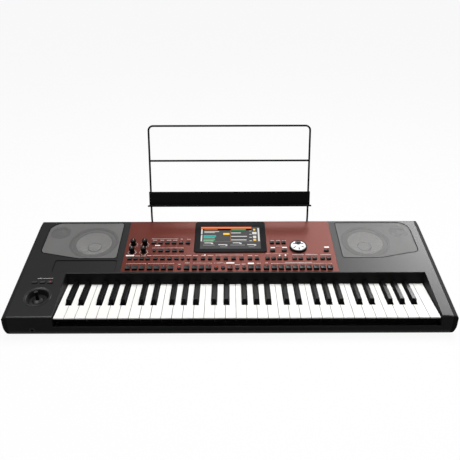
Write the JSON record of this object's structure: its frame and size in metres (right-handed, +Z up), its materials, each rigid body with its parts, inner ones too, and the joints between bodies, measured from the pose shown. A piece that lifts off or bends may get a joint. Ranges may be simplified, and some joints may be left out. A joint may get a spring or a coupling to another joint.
{
  "type": "arranger keyboard",
  "caption": "Portable arranger keyboard with sprung piano keys, built-in speakers, a screen and button panel, joystick, data dial, knobs and a lift-out wire music rest.",
  "frame": {"origin": "on the standing surface, under the middle of the whole object's box, music rest included", "axes": "+X towards the treble end, +Y away from the player, +Z up"},
  "size_m": [1.02, 0.4122, 0.3755],
  "materials": {
    "case_black": "fine-grained satin black moulded plastic",
    "panel_brown": "red-brown metallic lacquer, half gloss",
    "grille_grey": "fine perforated sheet, dark grey paint",
    "key_white": "smooth white moulded plastic",
    "key_black": "satin black moulded plastic",
    "button_grey": "dark grey moulded caps",
    "start_red": "dark red moulded cap",
    "bezel_black": "gloss black moulding",
    "screen": "smooth dark display surface",
    "dial_white": "smooth white moulding",
    "knob_black": "black moulded plastic",
    "joystick_black": "satin black moulded plastic",
    "rest_black": "black powder coat",
    "socket_black": "black moulded plastic",
    "rubber_black": "matt black rubber",
    "steel": "bare steel",
    "frame_grey": "moulded grey chassis",
    "basket_black": "black painted pressed steel",
    "cone_grey": "coated paper cone with rubber surround",
    "felt_grey": "dark grey woven felt",
    "board_green": "green circuit board"
  },
  "bodies": {
    "root": {"lower_case": "case_black", "upper_case": "case_black", "control_panel": "panel_brown", "speaker_grilles": "grille_grey", "display_bezel": "bezel_black", "dial_ring": "bezel_black", "display_screen": "screen", "joystick_cup": "joystick_black", "rest_sockets": "socket_black", "jack_sockets": "socket_black", "data_sockets": "socket_black", "mains_inlet": "socket_black", "rubber_feet": "rubber_black", "key_contact_strip": "rubber_black", "case_screws": "steel", "key_pivot_rod": "steel", "key_springs": "steel", "key_frame": "frame_grey", "rotary_controls": "frame_grey", "woofer_frames": "basket_black", "tweeters": "basket_black", "woofer_cones": "cone_grey", "key_felts": "felt_grey", "panel_board": "board_green", "key_contact_board": "board_green", "main_board": "board_green", "power_supply": "board_green"},
    "keys_c": {"keys_c": "key_white"},
    "keys_d": {"keys_d": "key_white"},
    "keys_e": {"keys_e": "key_white"},
    "keys_f": {"keys_f": "key_white"},
    "keys_g": {"keys_g": "key_white"},
    "keys_a": {"keys_a": "key_white"},
    "keys_b": {"keys_b": "key_white"},
    "keys_c_sharp": {"keys_c_sharp": "key_black"},
    "keys_d_sharp": {"keys_d_sharp": "key_black"},
    "keys_f_sharp": {"keys_f_sharp": "key_black"},
    "keys_g_sharp": {"keys_g_sharp": "key_black"},
    "keys_a_sharp": {"keys_a_sharp": "key_black"},
    "upper_left_buttons": {"upper_left_buttons": "button_grey"},
    "middle_left_buttons": {"middle_left_buttons": "button_grey"},
    "middle_centre_buttons": {"middle_centre_buttons": "button_grey"},
    "middle_right_buttons": {"middle_right_buttons": "button_grey"},
    "front_left_buttons": {"front_left_buttons": "button_grey"},
    "front_centre_buttons": {"front_centre_buttons": "button_grey"},
    "start_button": {"start_button": "start_red"},
    "front_right_buttons": {"front_right_buttons": "button_grey"},
    "display_side_buttons": {"display_side_buttons": "button_grey"},
    "cheek_switches": {"cheek_switches": "button_grey"},
    "power_button": {"power_button": "knob_black"},
    "upper_left_knob": {"upper_left_knob": "knob_black"},
    "upper_right_knob": {"upper_right_knob": "knob_black"},
    "lower_left_knob": {"lower_left_knob": "knob_black"},
    "lower_right_knob": {"lower_right_knob": "knob_black"},
    "data_dial": {"data_dial": "dial_white"},
    "joystick_yoke": {"joystick_yoke": "joystick_black"},
    "joystick_lever": {"joystick_lever": "joystick_black"},
    "music_rest": {"rest_frame": "rest_black", "rest_crossbar": "rest_black", "rest_plate": "rest_black"}
  },
  "joints": [
    {"name": "key_dip_c", "type": "hinge", "parent": "root", "child": "keys_c", "pos_m": [0, 0.00492, 0.0465], "axis": [1, 0, 0], "range_deg": [0, 2.8], "stiffness_Nm_per_rad": 3, "springref_deg": -6.88, "deforming": ["key_springs"]},
    {"name": "key_dip_d", "type": "hinge", "parent": "root", "child": "keys_d", "pos_m": [0, 0.00492, 0.0465], "axis": [1, 0, 0], "range_deg": [0, 2.8], "stiffness_Nm_per_rad": 3, "springref_deg": -6.88, "deforming": ["key_springs"]},
    {"name": "key_dip_e", "type": "hinge", "parent": "root", "child": "keys_e", "pos_m": [0, 0.00492, 0.0465], "axis": [1, 0, 0], "range_deg": [0, 2.8], "stiffness_Nm_per_rad": 3, "springref_deg": -6.88, "deforming": ["key_springs"]},
    {"name": "key_dip_f", "type": "hinge", "parent": "root", "child": "keys_f", "pos_m": [0, 0.00492, 0.0465], "axis": [1, 0, 0], "range_deg": [0, 2.8], "stiffness_Nm_per_rad": 3, "springref_deg": -6.88, "deforming": ["key_springs"]},
    {"name": "key_dip_g", "type": "hinge", "parent": "root", "child": "keys_g", "pos_m": [0, 0.00492, 0.0465], "axis": [1, 0, 0], "range_deg": [0, 2.8], "stiffness_Nm_per_rad": 3, "springref_deg": -6.88, "deforming": ["key_springs"]},
    {"name": "key_dip_a", "type": "hinge", "parent": "root", "child": "keys_a", "pos_m": [0, 0.00492, 0.0465], "axis": [1, 0, 0], "range_deg": [0, 2.8], "stiffness_Nm_per_rad": 3, "springref_deg": -6.88, "deforming": ["key_springs"]},
    {"name": "key_dip_b", "type": "hinge", "parent": "root", "child": "keys_b", "pos_m": [0, 0.00492, 0.0465], "axis": [1, 0, 0], "range_deg": [0, 2.8], "stiffness_Nm_per_rad": 3, "springref_deg": -6.88, "deforming": ["key_springs"]},
    {"name": "key_dip_c_sharp", "type": "hinge", "parent": "root", "child": "keys_c_sharp", "pos_m": [0, 0.00492, 0.0465], "axis": [1, 0, 0], "range_deg": [0, 2.8], "stiffness_Nm_per_rad": 3, "springref_deg": -6.88, "deforming": ["key_springs"]},
    {"name": "key_dip_d_sharp", "type": "hinge", "parent": "root", "child": "keys_d_sharp", "pos_m": [0, 0.00492, 0.0465], "axis": [1, 0, 0], "range_deg": [0, 2.8], "stiffness_Nm_per_rad": 3, "springref_deg": -6.88, "deforming": ["key_springs"]},
    {"name": "key_dip_f_sharp", "type": "hinge", "parent": "root", "child": "keys_f_sharp", "pos_m": [0, 0.00492, 0.0465], "axis": [1, 0, 0], "range_deg": [0, 2.8], "stiffness_Nm_per_rad": 3, "springref_deg": -6.88, "deforming": ["key_springs"]},
    {"name": "key_dip_g_sharp", "type": "hinge", "parent": "root", "child": "keys_g_sharp", "pos_m": [0, 0.00492, 0.0465], "axis": [1, 0, 0], "range_deg": [0, 2.8], "stiffness_Nm_per_rad": 3, "springref_deg": -6.88, "deforming": ["key_springs"]},
    {"name": "key_dip_a_sharp", "type": "hinge", "parent": "root", "child": "keys_a_sharp", "pos_m": [0, 0.00492, 0.0465], "axis": [1, 0, 0], "range_deg": [0, 2.8], "stiffness_Nm_per_rad": 3, "springref_deg": -6.88, "deforming": ["key_springs"]},
    {"name": "upper_left_buttons_press", "type": "slide", "parent": "root", "child": "upper_left_buttons", "axis": [0, 0.177, -0.9842], "range_m": [0, 0.001], "stiffness_N_per_m": 1000, "springref_m": -0.001},
    {"name": "middle_left_buttons_press", "type": "slide", "parent": "root", "child": "middle_left_buttons", "axis": [0, 0.177, -0.9842], "range_m": [0, 0.001], "stiffness_N_per_m": 1000, "springref_m": -0.001},
    {"name": "middle_centre_buttons_press", "type": "slide", "parent": "root", "child": "middle_centre_buttons", "axis": [0, 0.177, -0.9842], "range_m": [0, 0.001], "stiffness_N_per_m": 1000, "springref_m": -0.001},
    {"name": "middle_right_buttons_press", "type": "slide", "parent": "root", "child": "middle_right_buttons", "axis": [0, 0.177, -0.9842], "range_m": [0, 0.001], "stiffness_N_per_m": 1000, "springref_m": -0.001},
    {"name": "front_left_buttons_press", "type": "slide", "parent": "root", "child": "front_left_buttons", "axis": [0, 0.177, -0.9842], "range_m": [0, 0.001], "stiffness_N_per_m": 1000, "springref_m": -0.001},
    {"name": "front_centre_buttons_press", "type": "slide", "parent": "root", "child": "front_centre_buttons", "axis": [0, 0.177, -0.9842], "range_m": [0, 0.001], "stiffness_N_per_m": 1000, "springref_m": -0.001},
    {"name": "start_button_press", "type": "slide", "parent": "root", "child": "start_button", "axis": [0, 0.177, -0.9842], "range_m": [0, 0.001], "stiffness_N_per_m": 1000, "springref_m": -0.001},
    {"name": "front_right_buttons_press", "type": "slide", "parent": "root", "child": "front_right_buttons", "axis": [0, 0.177, -0.9842], "range_m": [0, 0.001], "stiffness_N_per_m": 1000, "springref_m": -0.001},
    {"name": "display_side_buttons_press", "type": "slide", "parent": "root", "child": "display_side_buttons", "axis": [0, 0.177, -0.9842], "range_m": [0, 0.001], "stiffness_N_per_m": 1000, "springref_m": -0.001},
    {"name": "cheek_switches_press", "type": "slide", "parent": "root", "child": "cheek_switches", "axis": [0, 0.177, -0.9842], "range_m": [0, 0.001], "stiffness_N_per_m": 1000, "springref_m": -0.001},
    {"name": "power_button_press", "type": "slide", "parent": "root", "child": "power_button", "axis": [0, -1, 0], "range_m": [0, 0.002], "stiffness_N_per_m": 1000, "springref_m": -0.001},
    {"name": "upper_left_knob_turn", "type": "hinge", "parent": "root", "child": "upper_left_knob", "pos_m": [-0.24592, 0.04542, 0.10793], "axis": [0, -0.177, 0.9842], "range_deg": [-150, 150]},
    {"name": "upper_right_knob_turn", "type": "hinge", "parent": "root", "child": "upper_right_knob", "pos_m": [-0.21677, 0.04542, 0.10793], "axis": [0, -0.177, 0.9842], "range_deg": [-150, 150]},
    {"name": "lower_left_knob_turn", "type": "hinge", "parent": "root", "child": "lower_left_knob", "pos_m": [-0.24592, 0.01525, 0.1025], "axis": [0, -0.177, 0.9842], "range_deg": [-150, 150]},
    {"name": "lower_right_knob_turn", "type": "hinge", "parent": "root", "child": "lower_right_knob", "pos_m": [-0.21677, 0.01525, 0.1025], "axis": [0, -0.177, 0.9842], "range_deg": [-150, 150]},
    {"name": "data_dial_turn", "type": "hinge", "parent": "root", "child": "data_dial", "pos_m": [0.17437, 0.03343, 0.10577], "axis": [0, -0.177, 0.9842], "continuous": true},
    {"name": "joystick_sideways", "type": "hinge", "parent": "root", "child": "joystick_yoke", "pos_m": [-0.44302, -0.13751, 0.04861], "axis": [0, 0.9842, 0.177], "range_deg": [-15, 15], "stiffness_Nm_per_rad": 0.08},
    {"name": "joystick_fore_aft", "type": "hinge", "parent": "joystick_yoke", "child": "joystick_lever", "pos_m": [-0.44302, -0.13751, 0.04861], "axis": [1, 0, 0], "range_deg": [-15, 15], "stiffness_Nm_per_rad": 0.08},
    {"name": "music_rest_lift", "type": "slide", "parent": "root", "child": "music_rest", "axis": [0, 0, 1], "range_m": [0, 0.03]}
  ]
}
